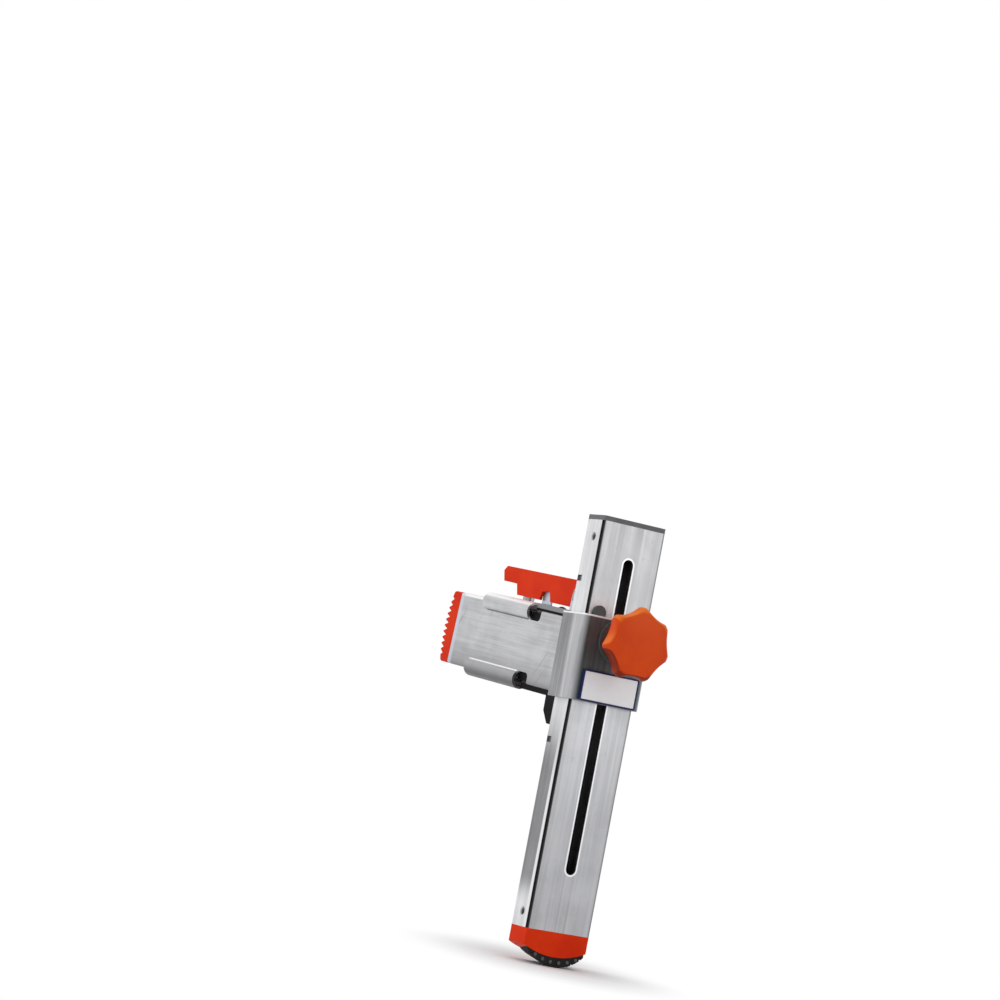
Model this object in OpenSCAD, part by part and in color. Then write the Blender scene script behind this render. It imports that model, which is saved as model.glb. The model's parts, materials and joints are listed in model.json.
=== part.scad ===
// Ladder leveller: a sleeve for the end of a ladder's crossbar that carries a slotted sliding leg.
// Millimetres. Origin at the centre of the socket's mouth, X along the crossbar outwards, Z up.

/* [Crossbar socket] */
// Height of the crossbar that goes into the socket
bar_h = 58; // [50:0.5:70]
// Depth of the crossbar
bar_w = 25; // [20:0.5:32]
// Clearance between crossbar and socket on each side
bar_fit = 0.3; // [0.2:0.05:0.6]
// Distance from the mouth to the stop
socket_len = 132; // [120:1:140]

/* [Sleeve] */
// Wall thickness of the sleeve
sleeve_wall = 2; // [1.5:0.1:3]
// Outer corner radius of the sleeve
sleeve_r = 2.2; // [2:0.1:3]
// Length of the plastic collar at the mouth
collar_len = 12.5; // [10:0.5:20]
// How far the collar's mouth bows out in the middle
mouth_out = 6; // [2:0.1:8]
// Length of the collar's spigot inside the sleeve
spigot_len = 10; // [6:0.5:16]
// Thickness of the collar's spigot
spigot_t = 0.8; // [0.6:0.1:1]
// Number of gaps between the teeth on the collar's edge
tooth_n = 10; // [6:1:11]
// Distance between the teeth
tooth_pitch = 5.3; // [4:0.1:5.6]
// Depth of the gaps beside the collar's corners
tooth_in = 2; // [1:0.1:3]
// Distance from the collar's top to the first gap
tooth_top = 7.4; // [5:0.1:8]
// Radius of the pressed corner beads
bead_r = 8.2; // [6:0.1:9]
// How far the beads stand above and below the sleeve
bead_rise = 5.8; // [3:0.1:7]
// How far the beads stand out in front and behind
bead_out = 3.4; // [1:0.1:4]
// Where the lower beads start, from the mouth
bead_x = 48; // [40:1:60]
// How much further in the upper beads start
bead_lag = 7.5; // [0:0.5:12]
// Length of the relief notch at the end of each bead
notch_len = 18; // [14:0.5:22]
// Height of the relief notch on the side wall
notch_h = 9.3; // [7:0.1:12]
// How far the relief notch runs into the top and bottom walls
notch_in = 6; // [4:0.5:8]
// Corner radius of the relief notch
notch_r = 4.2; // [3:0.1:5]
// Length of the crossbar stop
stop_len = 18; // [14:1:24]

/* [Leg] */
// Angle of the leg against the sleeve, foot outwards
splay = 3.5; // [0:0.1:6]
// Distance from the crossbar's end to the leg's axis, at the height of the sleeve's axis
leg_back = 103; // [98:1:112]
// Width of the leg, front to back
leg_w = 60; // [56:0.5:66]
// Thickness of the leg along the sleeve
leg_t = 27; // [25:0.5:30]
// Wall thickness of the leg
leg_wall = 2.5; // [2:0.1:3.5]
// Outer corner radius of the leg
leg_r = 2; // [1.5:0.1:2.4]
// Length of the aluminium leg
leg_len = 336; // [330:1:345]
// Height of the leg's top end above the sleeve's axis
leg_top = 115; // [110:1:120]
// Width of the long slot
slot_w = 9.5; // [9:0.1:11]
// Distance from the leg's top end to the slot
slot_gap = 27.5; // [25:0.5:32]
// Distance from the leg's low end to the slot
slot_end = 47.5; // [42:0.5:60]
// Width of the groove beside each outer corner
groove_w = 3.2; // [2:0.1:4.5]
// Depth of that groove
groove_d = 1.5; // [0.8:0.1:1.8]
// Distance of that groove from the leg's outer face
groove_in = 0.6; // [0.5:0.1:2]
// Height of the leg's upper index slot above the sleeve's axis
index_hi = 66; // [60:1:72]
// Height of the leg's lower index slot
index_lo = -68; // [-75:1:-60]
// Distance of the index slots from the leg's inner face
index_in = 1; // [0.8:0.1:2.5]
// Length of an index slot across the leg
index_w = 7; // [5:0.5:9]
// Height of an index slot
index_h = 5; // [3:0.5:6]
// Height of the cap on the leg's top
cap_h = 4; // [3:0.5:6]
// Depth of the plugs inside the leg's ends
plug_len = 19; // [16:0.5:19]
// Distance of the cap's rivets from the leg's top end
cap_rivet_in = 14; // [10:0.5:15]
// Distance of the shoe's rivets from the leg's low end
shoe_rivet_in = 12.5; // [10:0.5:15]
// Wall thickness of the plugs
plug_wall = 2.5; // [2:0.1:4]

/* [Foot] */
// Height of the shoe below the leg in the middle
shoe_h = 20.2; // [18:0.1:24]
// Radius of the shoe's curved lower edge
shoe_arc = 67.8; // [60:0.1:80]
// Height of the rubber below the shoe in the middle
tread_h = 8.1; // [6:0.1:10]
// Radius of the rubber's curved sole on the outer side
tread_arc = 37; // [32:0.1:40]
// How much smaller that radius is on the inner side
sole_taper = 4; // [0:0.1:5]
// Distance of the sole's lowest line from the leg's middle
sole_shift = 1.5; // [0:0.1:2]
// Length of the rubber front to back
tread_w = 56; // [50:0.5:58]
// Width of the rubber across the leg
tread_t = 25; // [22:0.5:26]
// Number of blocks in the tread
block_n = 8; // [6:1:10]
// Angle between the tread's grooves
block_pitch = 13.4; // [10:0.1:15]
// Width of the tread's grooves
block_gap = 1.2; // [0.8:0.1:2]
// Depth of the tread's grooves
block_d = 1; // [0.6:0.1:1.6]
// Number of studs on the rubber's outer side
stud_n = 6; // [4:1:6]
// Distance between the studs
stud_pitch = 8.1; // [7:0.1:8.2]
// Radius of the studs
stud_r = 1.5; // [1:0.1:1.6]
// How far the studs stand out
stud_rise = 0.6; // [0.3:0.1:0.9]
// Radius of the arc that the studs follow
stud_arc = 44.6; // [42:0.1:50]
// Height of the rubber's key inside the shoe
key_h = 5; // [3:0.5:7]
// Length of the key
key_w = 30; // [20:1:36]
// Width of the key
key_t = 10; // [8:0.5:14]

/* [Guide] */
// Wall thickness of the guide round the leg
box_wall = 2.5; // [2:0.1:3.5]
// Radius of the guide's outer corners
box_r = 6; // [5:0.1:8]
// Radius of the guide's corners on the sleeve's side
box_in_r = 1.5; // [0.5:0.1:3]
// Height of the guide
box_h = 70.5; // [66:0.5:76]
// Height of the guide's top edge above the sleeve's axis
box_top = 37.5; // [35:0.5:40]
// Thickness of the plastic liner
liner_t = 1.5; // [1:0.1:2]
// Outer corner radius of the liner
liner_r = 4; // [3.6:0.1:5]
// Gap between leg and liner
leg_gap = 0.3; // [0.3:0.05:0.6]
// Width of the liner's tongues above the guide
tongue_w = 12; // [8:0.5:14]
// Height of the tongues
tongue_h = 8.5; // [6:0.5:10]
// Distance of the tongues from the middle
tongue_y = 19.5; // [16:0.5:21]
// Leg of the fillet welds between sleeve and guide
weld_a = 4; // [3:0.5:6]
// Length of the fillet welds
weld_len = 54; // [40:1:56]
// Width of the name plate
plate_w = 54; // [46:1:56]
// Distance between the washer and the name plate
plate_gap = 8.5; // [6:0.5:14]
// Thickness of the name plate's border
plate_t = 3.2; // [2:0.1:4]
// Width of the name plate's border
plate_rim = 1.3; // [1:0.1:2.5]
// How far the white panel sits below the border
panel_low = 0.3; // [0.2:0.1:0.8]
// Corner radius of the name plate
plate_r = 2; // [1.6:0.1:3]
// Distance from the guide's low edge to the name plate
plate_in = 0.4; // [0.2:0.1:3]
// Thickness of the pad under the sleeve
pad_t = 4.6; // [3:0.1:6]
// Width of that pad
pad_w = 24; // [18:1:28]
// Distance from the crossbar's end to the pad
pad_gap = 5; // [4:0.5:18]
// Length of the pad's hanging lug, back from the leg's axis
lug_len = 54; // [40:1:56]
// Depth of the lug below the sleeve
lug_h = 27; // [20:1:32]
// Corner cut of the lug
lug_cut = 10; // [4:0.5:12]
// Slant of the lug's edge
lug_slant = 1; // [0.5:0.1:2]

/* [Clamp] */
// Height of the clamp bolt above the sleeve's axis
bolt_z = 19.5; // [18:0.5:21]
// Radius of the clamp bolt
bolt_r = 4; // [3:0.5:4.5]
// Radius of the bolt's head
head_r = 8; // [6:0.5:9]
// Thickness of the bolt's head
head_t = 4; // [3:0.5:5]
// How far the bolt ends inside the threaded bush
bolt_short = 1; // [0.5:0.1:2]
// Side of the clamp plate inside the leg
clamp_w = 28; // [24:1:32]
// Thickness of the clamp plate
clamp_t = 4; // [3:0.5:5]
// Outer radius of the washer
washer_r = 18; // [14:0.5:20]
// Thickness of the washer
washer_t = 2.5; // [1.5:0.1:3]
// Radius of the knob at the tips
knob_r = 30.7; // [28:0.1:34]
// Number of lobes
lobe_n = 7; // [5:1:9]
// Radius of a lobe's tip
lobe_r = 8; // [6:0.1:9]
// Radius of the flutes between lobes
dent_r = 25; // [20:1:40]
// How far the flutes bite into the lobes' sides
dent_in = 0.3; // [0.2:0.1:0.6]
// How much deeper the flutes are at the back of the head
dent_lean = 1.5; // [0:0.5:4]
// Thickness of the knob's head
knob_t = 15; // [14.5:0.5:22]
// Rounding of the knob's front rim
knob_edge = 6.5; // [3:0.5:6.5]
// Rounding of the lobes towards the hub
knob_back = 7.5; // [4:0.5:8]
// Rise of the knob's domed front
knob_dome = 1.5; // [1:0.1:3]
// Radius of the knob's hub
hub_r = 12; // [10:0.5:14]
// Length of the knob's hub
hub_len = 19; // [16:0.5:24]
// Radius of the threaded bush
insert_r = 7; // [6:0.5:9]
// Length of the threaded bush
insert_len = 26; // [20:1:30]

/* [Latch] */
// Width of the lever
lever_w = 18; // [14:0.5:20]
// Thickness of the lever's walls
lever_t = 2.5; // [2:0.1:3]
// Height of the lever's top above the sleeve
lever_h = 32; // [28:0.5:36]
// How far the lever reaches back past the crossbar's end
lever_back = 67.5; // [62:0.5:72]
// Height of the hinge pin above the sleeve
hinge_h = 18.7; // [17:0.1:20]
// Distance of the hinge pin from the leg's axis
hinge_back = 39; // [36:0.5:43]
// Radius of the hinge pin
pin_r = 4; // [3:0.5:4.5]
// Radius of the lever's tail round the hinge pin
tail_r = 11; // [9:0.5:11.5]
// Distance of the lock pin from the crossbar's end
lock_back = 32; // [28:0.5:35]
// Radius of the lock pin
lock_r = 5; // [4:0.5:6]
// Thickness of the lever's boss round the lock pin
boss_t = 3; // [2:0.1:3.5]
// How far the lock pin reaches into the socket
lock_in = 5; // [3:0.5:6]
// How far the lock pin's hole is drawn out for the pin's swing
lock_swing = 3.2; // [3:0.1:5]
// Bevel at the lock pin's tip
lock_bevel = 1; // [0.5:0.1:1.5]
// Thickness of the black pad under the latch base
seat_t = 2; // [1:0.1:3]
// Thickness of the latch base
base_t = 4; // [3:0.1:5]
// Distance from the crossbar's end to the latch base
base_gap = 4; // [2:0.5:10]
// Distance of the latch base's far end from the leg's axis
base_back = 28; // [26:0.5:30]
// Length of the base's upright tab behind the lever's notch
tab_len = 15; // [12:0.5:18]
// Thickness of that tab
tab_t = 1.5; // [1:0.1:2.5]
// Thickness of the ears that hold the hinge pin
ear_t = 2.5; // [2:0.1:3]
// Radius of the ears round the hinge pin
ear_r = 8.5; // [7:0.5:10]
// Thickness of the clips on the hinge pin
clip_t = 1.2; // [0.8:0.1:1.6]
// Outer radius of the clips
clip_r = 6; // [5:0.1:7]
// Depth of the clips' grooves in the hinge pin
clip_d = 0.8; // [0.5:0.1:1.2]
// How far the hinge pin stands out past each clip
pin_end = 1; // [0.5:0.1:2]
// Gap between lever and ears
ear_gap = 0.4; // [0.3:0.1:0.6]
// Radius of the spring's coil at the wire's middle
coil_r = 6.2; // [5.6:0.1:7]
// Radius of the spring wire
wire_r = 0.55; // [0.4:0.05:0.6]
// Full turns of the spring
coil_n = 3; // [2:1:4]
// Length of the coil along the pin
coil_len = 6; // [5.8:0.1:7]

/* [Fasteners] */
// Radius of the rivets
rivet_r = 2; // [1.5:0.1:2.5]
// Radius of the rivets' heads
rivet_head = 3.6; // [3:0.1:5]
// Height of the rivets' heads
rivet_rise = 1.4; // [1:0.1:2]
// Radius of the pad screws
screw_r = 2.4; // [2:0.1:3]
// Radius of the screws' countersunk heads
screw_head = 4.6; // [4:0.1:5]
// Play between a fastener or pin and its hole
fit = 0.05; // [0.03:0.01:0.08]
// Clearance of parts that pass each other
gap = 0.4; // [0.3:0.05:0.6]
// Overrun of cuts and joins
over = 1; // [0.5:0.1:2]

/* [Hidden] */
$fn = 64;
socket_h = bar_h + 2 * bar_fit;
socket_w = bar_w + 2 * bar_fit;
sleeve_h = socket_h + 2 * sleeve_wall;
sleeve_w = socket_w + 2 * sleeve_wall;
sleeve_top = sleeve_h / 2;
bead_end = socket_len;
mouth_arc = (sleeve_top * sleeve_top + mouth_out * mouth_out) / (2 * mouth_out);
// How much of the mouth's bow the roots of its teeth follow
root_share = 0.42;
function mouth_x(z) = mouth_arc - mouth_out - sqrt(mouth_arc * mouth_arc - z * z);
leg_x = socket_len + leg_back;
pad_x = socket_len + pad_gap;
lug_x = leg_x - lug_len;
lever_x = socket_len - lever_back;
lock_x = socket_len - lock_back;
hinge_x = leg_x - hinge_back;
base_x = socket_len + base_gap;
base_end = leg_x - base_back;
function bead_start(sz) = bead_x + (sz > 0 ? bead_lag : 0);
bead_y = sleeve_w / 2 + bead_out - bead_r;
bead_z = sleeve_top + bead_rise - bead_r;
sleeve_reach = leg_x;
inner_t = leg_t + 2 * (leg_gap + liner_t + fit);
inner_w = leg_w + 2 * (leg_gap + liner_t + fit);
box_t = inner_t + 2 * box_wall;
box_w = inner_w + 2 * box_wall;
box_low = box_top - box_h;
plate_low = box_low + plate_in;
plate_h = bolt_z - washer_r - plate_gap - plate_low;
plate_z = plate_low + plate_h / 2;
leg_low = leg_top - leg_len;
slot_top = leg_top - slot_gap;
slot_low = leg_low + slot_end;
slot_len = slot_top - slot_low;
bore_t = leg_t - 2 * leg_wall;
bore_w = leg_w - 2 * leg_wall;
shoe_low = leg_low - shoe_h;
sole_low = shoe_low - tread_h;
shoe_mid = shoe_low + shoe_arc;
sole_mid = sole_low + tread_arc;
sole_slope = atan(sole_taper / tread_t);
stud_mid = shoe_low - tread_h / 2 + stud_arc;
stud_turn = stud_pitch / stud_arc * 180 / PI;
cap_rivet_z = leg_top - cap_rivet_in;
shoe_rivet_z = leg_low + shoe_rivet_in;
face_x = box_t / 2;
knob_x = face_x + washer_t;
head_x = knob_x + hub_len;
plate_x = leg_t / 2 - leg_wall - gap / 2 - clamp_t;
hinge_z = sleeve_top + hinge_h;
seat_z = sleeve_top + seat_t;
base_z = seat_z + base_t;
base_w = lever_w + 2 * (ear_gap + ear_t);
clip_y = base_w / 2 + fit + clip_t / 2;
lever_top = sleeve_top + lever_h;
tongue_span = tongue_h - tongue_w / 2;
stop_y = sleeve_w / 2;
span = sleeve_h * 2;
// Places of fasteners along the sleeve, as shares of the latch base's length
base_rivet_shares = [0.3, 0.58];
base_len = base_end - base_x;
pad_screw_shares = [0.18, 0.32];
stop_rivet_shares = [0.4, 0.2];
// Lever outline, as shares of its length from its left end to the hinge and of its height over the sleeve
lever_len = hinge_x - lever_x;
lever_shares = [
    [0.035, 0.97], [0, 0.84], [0.028, 0.562], [0.196, 0.556], [0.228, 0.268], [0.515, 0.272],
    [0.528, 0.5], [0.62, 0.552], [0.652, 0.272], [1, 0.272], [1, 0.9], [0.94, 1]
];
bar_share = 0.58;
bar_z = sleeve_top + bar_share * lever_h;
roof_share = 0.885;
tail_share = 0.84;
boss_share = 0.3;
pocket_share = 0.91;
pocket_w = coil_len + 4 * wire_r + 2 * gap;
pocket_top_share = 0.86;
spring_leg_share = 0.885;
spring_foot_share = 0.93;
// Middle of the knob's flutes, set so that they meet the lobes smoothly
lobe_at = knob_r - lobe_r;
lobe_half = 180 / lobe_n;
dent_at = lobe_at * cos(lobe_half) + sqrt(pow(lobe_r + dent_r, 2) - pow(lobe_at * sin(lobe_half), 2));
function polar(r, a) = r * [cos(a), sin(a)];
function lobe_mid(k) = polar(lobe_at, 2 * k * lobe_half);
function lobe_side(k, s) =
    lobe_mid(k) + (polar(dent_at, (2 * k + s) * lobe_half) - lobe_mid(k)) * lobe_r / (lobe_r + dent_r);

// Rectangle with rounded corners
module rrect(w, h, r) {
    square([w - 2 * r, h], center = true);
    square([w, h - 2 * r], center = true);
    for (sx = [-1, 1], sy = [-1, 1])
        translate([sx * (w / 2 - r), sy * (h / 2 - r)])
            circle(r);
}

// Section drawn in Y and Z, drawn out along X
module along_x(x0, len) {
    translate([x0, 0, 0])
        rotate([90, 0, 90])
            linear_extrude(len)
                children();
}

// Outline drawn in X and Z, drawn out along Y about the middle
module across_y(w) {
    rotate([90, 0, 0])
        linear_extrude(w, center = true)
            children();
}

// Frame of the leg, leaning by the splay angle
module leg_frame() {
    translate([leg_x, 0, 0])
        rotate([0, -splay, 0])
            children();
}

// Upright cylinder turned to lie along X
module rod_x(r, x0, x1) {
    translate([x0, 0, 0])
        rotate([0, 90, 0])
            cylinder(r = r, h = x1 - x0);
}

// Upright cylinder turned to lie along Y about the middle
module rod_y(r, len) {
    rotate([90, 0, 0])
        cylinder(r = r, h = len, center = true);
}

// Domed rivet, head upwards, shank downwards from the head's seat
module rivet(r, head, rise, len) {
    ball = (head * head + rise * rise) / (2 * rise);
    translate([0, 0, -len])
        cylinder(r = r, h = len);
    intersection() {
        translate([-head, -head, 0] * 2)
            cube([4 * head, 4 * head, 2 * rise]);
        translate([0, 0, rise - ball])
            sphere(ball);
    }
}

module lock_slot(r, z0, z1) {
    translate([lock_x, 0, z0])
        cylinder(r = r, h = z1 - z0);
    translate([lock_x - lock_swing, 0, z0])
        cylinder(r = r, h = z1 - z0);
    translate([lock_x - lock_swing, -r, z0])
        cube([lock_swing, 2 * r, z1 - z0]);
}

module notch_outline() {
    translate([bead_end, sleeve_top - notch_h + notch_r])
        square([notch_len, notch_h + bead_rise]);
    translate([bead_end + notch_r, sleeve_top - notch_h])
        square([notch_len - 2 * notch_r, notch_h]);
    for (x = [bead_end + notch_r, bead_end + notch_len - notch_r])
        translate([x, sleeve_top - notch_h + notch_r])
            circle(notch_r);
}

module base_holes(r, z0, z1) {
    for (s = base_rivet_shares)
        translate([base_x + s * base_len, 0, z0])
            cylinder(r = r, h = z1 - z0);
}

module pad_holes(r, z0, z1) {
    for (s = pad_screw_shares)
        translate([pad_x + s * (leg_x - pad_x), 0, z0])
            cylinder(r = r, h = z1 - z0);
}

module stop_places() {
    for (s = [-1, 1])
        translate([socket_len + stop_rivet_shares[0] * stop_len, stop_y, s * stop_rivet_shares[1] * socket_h])
            rotate([-90, 0, 0])
                children();
}

module sleeve_tube() {
    color([0.80, 0.81, 0.83])
    difference() {
        union() {
            along_x(collar_len, sleeve_reach - collar_len)
                rrect(sleeve_w, sleeve_h, sleeve_r);
            for (sy = [-1, 1], sz = [-1, 1])
                along_x(bead_start(sz), bead_end - bead_start(sz))
                    translate([sy * bead_y, sz * bead_z])
                        circle(bead_r);
        }
        along_x(collar_len - over, sleeve_reach)
            square([socket_w, socket_h], center = true);
        along_x(collar_len - over, spigot_len + fit + over)
            square([socket_w + 2 * (spigot_t + fit), socket_h + 2 * (spigot_t + fit)], center = true);
        for (sy = [-1, 1], sz = [-1, 1])
            along_x(bead_start(sz) + sleeve_wall, bead_end - bead_start(sz))
                translate([sy * bead_y, sz * bead_z])
                    circle(bead_r - sleeve_wall);
        for (sy = [-1, 1], turn = [0, 180])
            rotate([turn, 0, 0])
                translate([0, sy * (sleeve_w / 2 + over - notch_in / 2), 0])
                    across_y(notch_in + 2 * over)
                        notch_outline();
        leg_frame()
            translate([-face_x, -span / 2, -span / 2])
                cube([span, span, span]);
        lock_slot(lock_r + gap, sleeve_top - sleeve_wall - over, sleeve_top + bead_rise + over);
        base_holes(rivet_r + fit, sleeve_top - sleeve_wall - over, sleeve_top + over);
        pad_holes(screw_r + fit, -sleeve_top - over, sleeve_wall + over - sleeve_top);
        stop_places()
            translate([0, 0, -sleeve_wall - over])
                cylinder(r = rivet_r + fit, h = sleeve_wall + 2 * over);
    }
}

module mouth_collar() {
    color([0.88, 0.22, 0.06])
    difference() {
        union() {
            intersection() {
                along_x(-mouth_out, collar_len + mouth_out)
                    rrect(sleeve_w, sleeve_h, sleeve_r);
                across_y(sleeve_w + 2 * over)
                    translate([mouth_arc - mouth_out, 0])
                        circle(mouth_arc, $fn = 512);
            }
            along_x(collar_len, spigot_len)
                square([socket_w + 2 * spigot_t, socket_h + 2 * spigot_t], center = true);
        }
        along_x(-mouth_out - over, mouth_out + collar_len + spigot_len + 2 * over)
            square([socket_w, socket_h], center = true);
        for (i = [0 : tooth_n - 1]) {
            z = sleeve_top - tooth_top - i * tooth_pitch;
            tip = mouth_x(z);
            root = tooth_in + root_share * tip;
            across_y(sleeve_w + 2 * over)
                polygon([[tip - over, z - tooth_pitch / 2], [root, z], [tip - over, z + tooth_pitch / 2]]);
        }
    }
}

module bar_stop() {
    w = socket_w - 2 * fit;
    h = socket_h - 2 * fit;
    color([0.05, 0.05, 0.05])
    difference() {
        along_x(socket_len, stop_len)
            square([w, h], center = true);
        along_x(socket_len + stop_len / 2, stop_len)
            square([w / 2, h / 2], center = true);
        stop_places()
            translate([0, 0, -sleeve_wall - stop_len / 3])
                cylinder(r = rivet_r + fit, h = stop_len);
    }
}

module stop_rivets() {
    color([0.72, 0.73, 0.75])
    stop_places()
        rivet(rivet_r, rivet_head, rivet_rise, sleeve_wall + stop_len / 4);
}

module guide_box() {
    color([0.70, 0.71, 0.73])
    leg_frame()
    difference() {
        translate([0, 0, box_low])
            linear_extrude(box_h)
                difference() {
                    union() {
                        rrect(box_t, box_w, box_r);
                        translate([-box_t / 4, 0])
                            rrect(box_t / 2, box_w, box_in_r);
                    }
                    rrect(inner_t, inner_w, box_r - box_wall);
                }
        translate([0, 0, bolt_z])
            rod_x(bolt_r + gap, 0, box_t);
    }
}

module weld_beads() {
    color([0.66, 0.67, 0.68])
    leg_frame()
    for (s = [-1, 1])
        translate([-face_x, s * sleeve_w / 2, -weld_len / 2])
            linear_extrude(weld_len)
                polygon([[0, 0], [-weld_a, 0], [0, s * weld_a]]);
}

module guide_liner() {
    low = leg_t / 2 + leg_gap;
    color([0.16, 0.16, 0.17])
    leg_frame()
    difference() {
        union() {
            translate([0, 0, box_low])
                linear_extrude(box_h)
                    difference() {
                        rrect(inner_t - 2 * fit, inner_w - 2 * fit, liner_r);
                        rrect(leg_t + 2 * leg_gap, leg_w + 2 * leg_gap, leg_r - leg_gap);
                    }
            for (s = [-1, 1])
                translate([0, s * tongue_y, box_top]) {
                    translate([low, -tongue_w / 2, -over])
                        cube([liner_t, tongue_w, tongue_span + over]);
                    translate([0, 0, tongue_span])
                        rod_x(tongue_w / 2, low, low + liner_t);
                }
        }
        translate([0, 0, bolt_z])
            rod_x(bolt_r + gap, 0, box_t);
    }
}

module name_plate() {
    rim = plate_rim + fit;
    color([0.93, 0.93, 0.94])
    leg_frame()
        translate([0, 0, plate_z])
            along_x(face_x, plate_t - panel_low)
                rrect(plate_w - 2 * rim, plate_h - 2 * rim, plate_r - plate_rim);
}

module plate_frame() {
    color([0.13, 0.15, 0.42])
    leg_frame()
        translate([0, 0, plate_z])
            along_x(face_x, plate_t)
                difference() {
                    rrect(plate_w, plate_h, plate_r);
                    rrect(plate_w - 2 * plate_rim, plate_h - 2 * plate_rim, plate_r - plate_rim);
                }
}

module guide_pad() {
    low = -sleeve_top - pad_t;
    foot = -sleeve_top - lug_h;
    color([0.06, 0.06, 0.06])
    difference() {
        across_y(pad_w)
            polygon([
                [pad_x, -sleeve_top], [pad_x, low], [lug_x, low], [lug_x + lug_slant, foot + lug_cut],
                [lug_x + lug_cut, foot], [leg_x, foot], [leg_x, -sleeve_top]
            ]);
        leg_frame()
            translate([-leg_t / 2 - gap, -span / 2, -span])
                cube([span, span, 2 * span]);
        leg_frame()
            translate([-face_x - fit, -span / 2, box_low - gap])
                cube([span, span, span]);
        pad_holes(screw_r + fit, low - over, over - sleeve_top);
        pad_heads(fit);
    }
}

// Countersunk heads, level with the pad's underside
module pad_heads(extra) {
    depth = screw_head - screw_r;
    for (s = pad_screw_shares)
        translate([pad_x + s * (leg_x - pad_x), 0, -sleeve_top - pad_t])
            cylinder(r1 = screw_head + extra, r2 = screw_r + extra, h = depth);
}

module pad_screws() {
    color([0.62, 0.63, 0.65])
    union() {
        pad_holes(screw_r, -sleeve_top - pad_t, 2 * sleeve_wall - sleeve_top);
        pad_heads(0);
    }
}

module latch_pad() {
    color([0.07, 0.07, 0.07])
    difference() {
        translate([base_x, -base_w / 2, sleeve_top])
            cube([base_len, base_w, seat_t]);
        base_holes(rivet_r + fit, sleeve_top - over, seat_z + over);
    }
}

module latch_base() {
    color([0.74, 0.75, 0.77])
    difference() {
        union() {
            translate([base_x, -base_w / 2, seat_z])
                cube([base_len, base_w, base_t]);
            translate([bead_end + gap, lever_t + gap - lever_w / 2, seat_z])
                cube([tab_len, tab_t, bar_z - gap - seat_z]);
            for (s = [-1, 1])
                translate([hinge_x, s * (base_w - ear_t) / 2, 0]) {
                    translate([0, 0, hinge_z])
                        rod_y(ear_r, ear_t);
                    translate([-ear_r, -ear_t / 2, base_z - over])
                        cube([2 * ear_r, ear_t, hinge_z - base_z + over]);
                }
        }
        translate([hinge_x, 0, hinge_z])
            rod_y(pin_r + fit, 2 * base_w);
        base_holes(rivet_r + fit, seat_z - over, base_z + over);
    }
}

module base_rivets() {
    color([0.72, 0.73, 0.75])
    for (s = base_rivet_shares)
        translate([base_x + s * base_len, 0, base_z])
            rivet(rivet_r, rivet_head, rivet_rise, base_t + seat_t + sleeve_wall + rivet_rise);
}

module latch_pin() {
    color([0.60, 0.61, 0.63])
    translate([hinge_x, 0, hinge_z])
        difference() {
            rod_y(pin_r, base_w + 2 * (clip_t + 2 * fit + pin_end));
            for (s = [-1, 1])
                translate([0, s * clip_y, 0])
                    difference() {
                        rod_y(clip_r, clip_t + 2 * fit);
                        rod_y(pin_r - clip_d, 2 * clip_r);
                    }
        }
}

module pin_clips() {
    color([0.30, 0.31, 0.33])
    for (s = [-1, 1])
        translate([hinge_x, s * clip_y, hinge_z])
            difference() {
                rod_y(clip_r, clip_t);
                rod_y(pin_r - clip_d + fit, 2 * clip_r);
            }
}

// Path of the spring wire: foot on the base, coil round the pin, leg into the lever
turn_steps = 8;
wire_sides = 6;
coil_steps = turn_steps * (coil_n + 1 / 2);
foot_x = lever_x + spring_foot_share * lever_len;
leg_end = lever_x + spring_leg_share * lever_len;
function coil_point(i) =
    let (a = -90 + 360 / turn_steps * i)
    [hinge_x + coil_r * cos(a), coil_len * (i / coil_steps - 1 / 2), hinge_z + coil_r * sin(a)];
spring_path = concat(
    [[foot_x, -coil_len / 2, base_z + wire_r + fit]],
    [for (i = [0 : coil_steps]) coil_point(i)],
    [[leg_end, coil_len / 2, hinge_z + coil_r]]
);
function unit(v) = v / norm(v);
function tangent(p, i) =
    unit(unit(p[min(i + 1, len(p) - 1)] - p[i] + (i == len(p) - 1 ? p[i] - p[i - 1] : [0, 0, 0]))
        + unit(p[i] - p[max(i - 1, 0)] + (i == 0 ? p[1] - p[0] : [0, 0, 0])));
function ring(p, i, r) =
    let (t = tangent(p, i), n = unit(cross(t, [0, 1, 0])), b = cross(t, n))
    [for (k = [0 : wire_sides - 1]) let (a = 360 * k / wire_sides) p[i] + r * (cos(a) * n + sin(a) * b)];
spring_gap = min([for (i = [1 : len(spring_path) - 1], j = [0 : len(spring_path) - 1])
    if (i - j > turn_steps / 2) norm(spring_path[i] - spring_path[j])]) - 2 * wire_r;

module latch_spring() {
    n = len(spring_path);
    pts = [for (i = [0 : n - 1]) each ring(spring_path, i, wire_r)];
    m = wire_sides;
    last = m * (n - 1);
    walls = [for (i = [0 : n - 2], k = [0 : m - 1])
        let (a = m * i + k, b = m * i + (k + 1) % m)
        each [[a, b + m, b], [a, a + m, b + m]]];
    ends = [for (k = [1 : m - 2]) each [[0, k, k + 1], [last, last + k + 1, last + k]]];
    echo(spring_gap = spring_gap);
    color([0.45, 0.46, 0.48])
    polyhedron(points = pts, faces = concat(walls, ends));
}

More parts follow.
